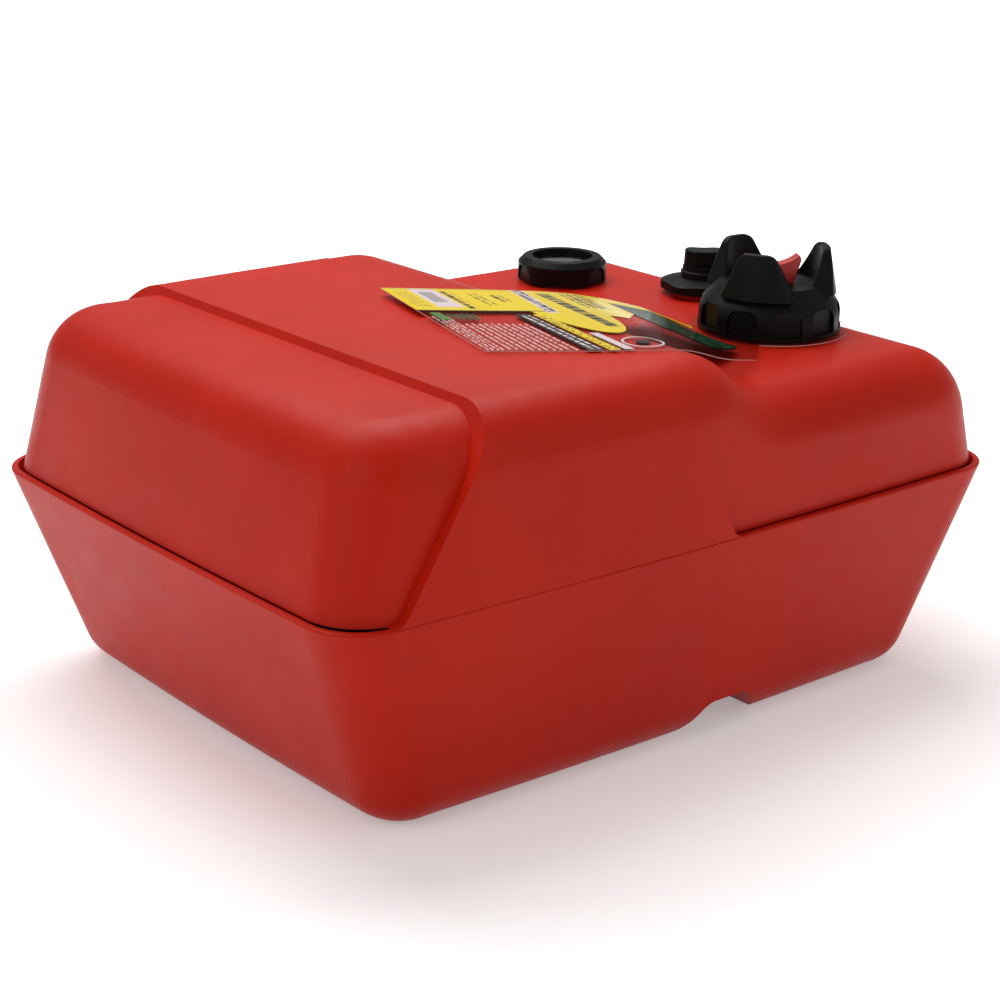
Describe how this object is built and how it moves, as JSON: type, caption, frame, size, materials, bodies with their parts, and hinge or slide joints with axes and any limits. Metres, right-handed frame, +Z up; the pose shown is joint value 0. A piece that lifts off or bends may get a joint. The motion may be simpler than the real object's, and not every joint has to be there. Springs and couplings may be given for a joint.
{
  "type": "outboard fuel tank",
  "caption": "Portable moulded fuel tank with a strap groove under it, a vented screw cap on its filler, a float gauge, a plugged fuel outlet and a printed neck tag.",
  "frame": {"origin": "on the floor plane below the middle of the tank", "axes": "+X along the tank towards the lower deck with the fittings, +Z up"},
  "size_m": [0.4739, 0.352, 0.24],
  "materials": {
    "tank_shell": "satin",
    "filler_cap": "satin",
    "cap_gasket": "matte",
    "vent_knob": "satin",
    "vent_seal": "matte",
    "neck_tag": "glossy",
    "gauge_ring": "satin",
    "gauge_gasket": "matte",
    "gauge_housing": "satin",
    "gauge_lens": "clear",
    "gauge_dial": "satin",
    "gauge_pointer": "satin",
    "gauge_spindle": "satin",
    "gauge_guide": "satin",
    "gauge_float": "matte",
    "pickup_gasket": "matte",
    "pickup_base": "satin",
    "pickup_collar": "satin",
    "outlet_plug": "satin",
    "outlet_oring": "matte",
    "pickup_tube": "satin",
    "pickup_screen": "matte"
  },
  "bodies": {
    "tank": {"tank_shell": "tank_shell", "neck_tag": "neck_tag", "gauge_ring": "gauge_ring", "gauge_gasket": "gauge_gasket", "gauge_housing": "gauge_housing", "gauge_lens": "gauge_lens", "gauge_dial": "gauge_dial", "gauge_guide": "gauge_guide", "pickup_gasket": "pickup_gasket", "pickup_base": "pickup_base", "pickup_collar": "pickup_collar", "pickup_tube": "pickup_tube", "pickup_screen": "pickup_screen"},
    "cap_carrier": {"cap_gasket": "cap_gasket"},
    "cap": {"filler_cap": "filler_cap"},
    "vent_carrier": {"vent_seal": "vent_seal"},
    "knob": {"vent_knob": "vent_knob"},
    "float": {"gauge_float": "gauge_float"},
    "indicator": {"gauge_spindle": "gauge_spindle", "gauge_pointer": "gauge_pointer"},
    "plug": {"outlet_plug": "outlet_plug", "outlet_oring": "outlet_oring"}
  },
  "joints": [
    {"name": "cap_lift", "type": "slide", "parent": "tank", "child": "cap_carrier", "axis": [0, 0, 1], "range_m": [0, 0.06]},
    {"name": "cap_turn", "type": "hinge", "parent": "cap_carrier", "child": "cap", "pos_m": [0.146, -0.064, 0.19], "axis": [0, 0, 1], "range_deg": [0, 540]},
    {"name": "vent_lift", "type": "slide", "parent": "cap", "child": "vent_carrier", "axis": [0, 0, 1], "range_m": [0, 0.0025]},
    {"name": "vent_turn", "type": "hinge", "parent": "vent_carrier", "child": "knob", "pos_m": [0.146, -0.064, 0.19], "axis": [0, 0, 1], "range_deg": [0, 450]},
    {"name": "float_rise", "type": "slide", "parent": "tank", "child": "float", "axis": [0, 0, 1], "range_m": [0, 0.149]},
    {"name": "pointer_turn", "type": "hinge", "parent": "tank", "child": "indicator", "pos_m": [0.128, 0.1, 0.19], "axis": [0, 0, 1], "range_deg": [-270, 0]},
    {"name": "plug_pull", "type": "slide", "parent": "tank", "child": "plug", "axis": [0, 0, 1], "range_m": [0, 0.04]}
  ],
  "couplings": [
    {"joint": "vent_turn", "follows": "vent_lift", "rad_per_m": 3141.6},
    {"joint": "pointer_turn", "follows": "float_rise", "rad_per_m": -31.62}
  ]
}
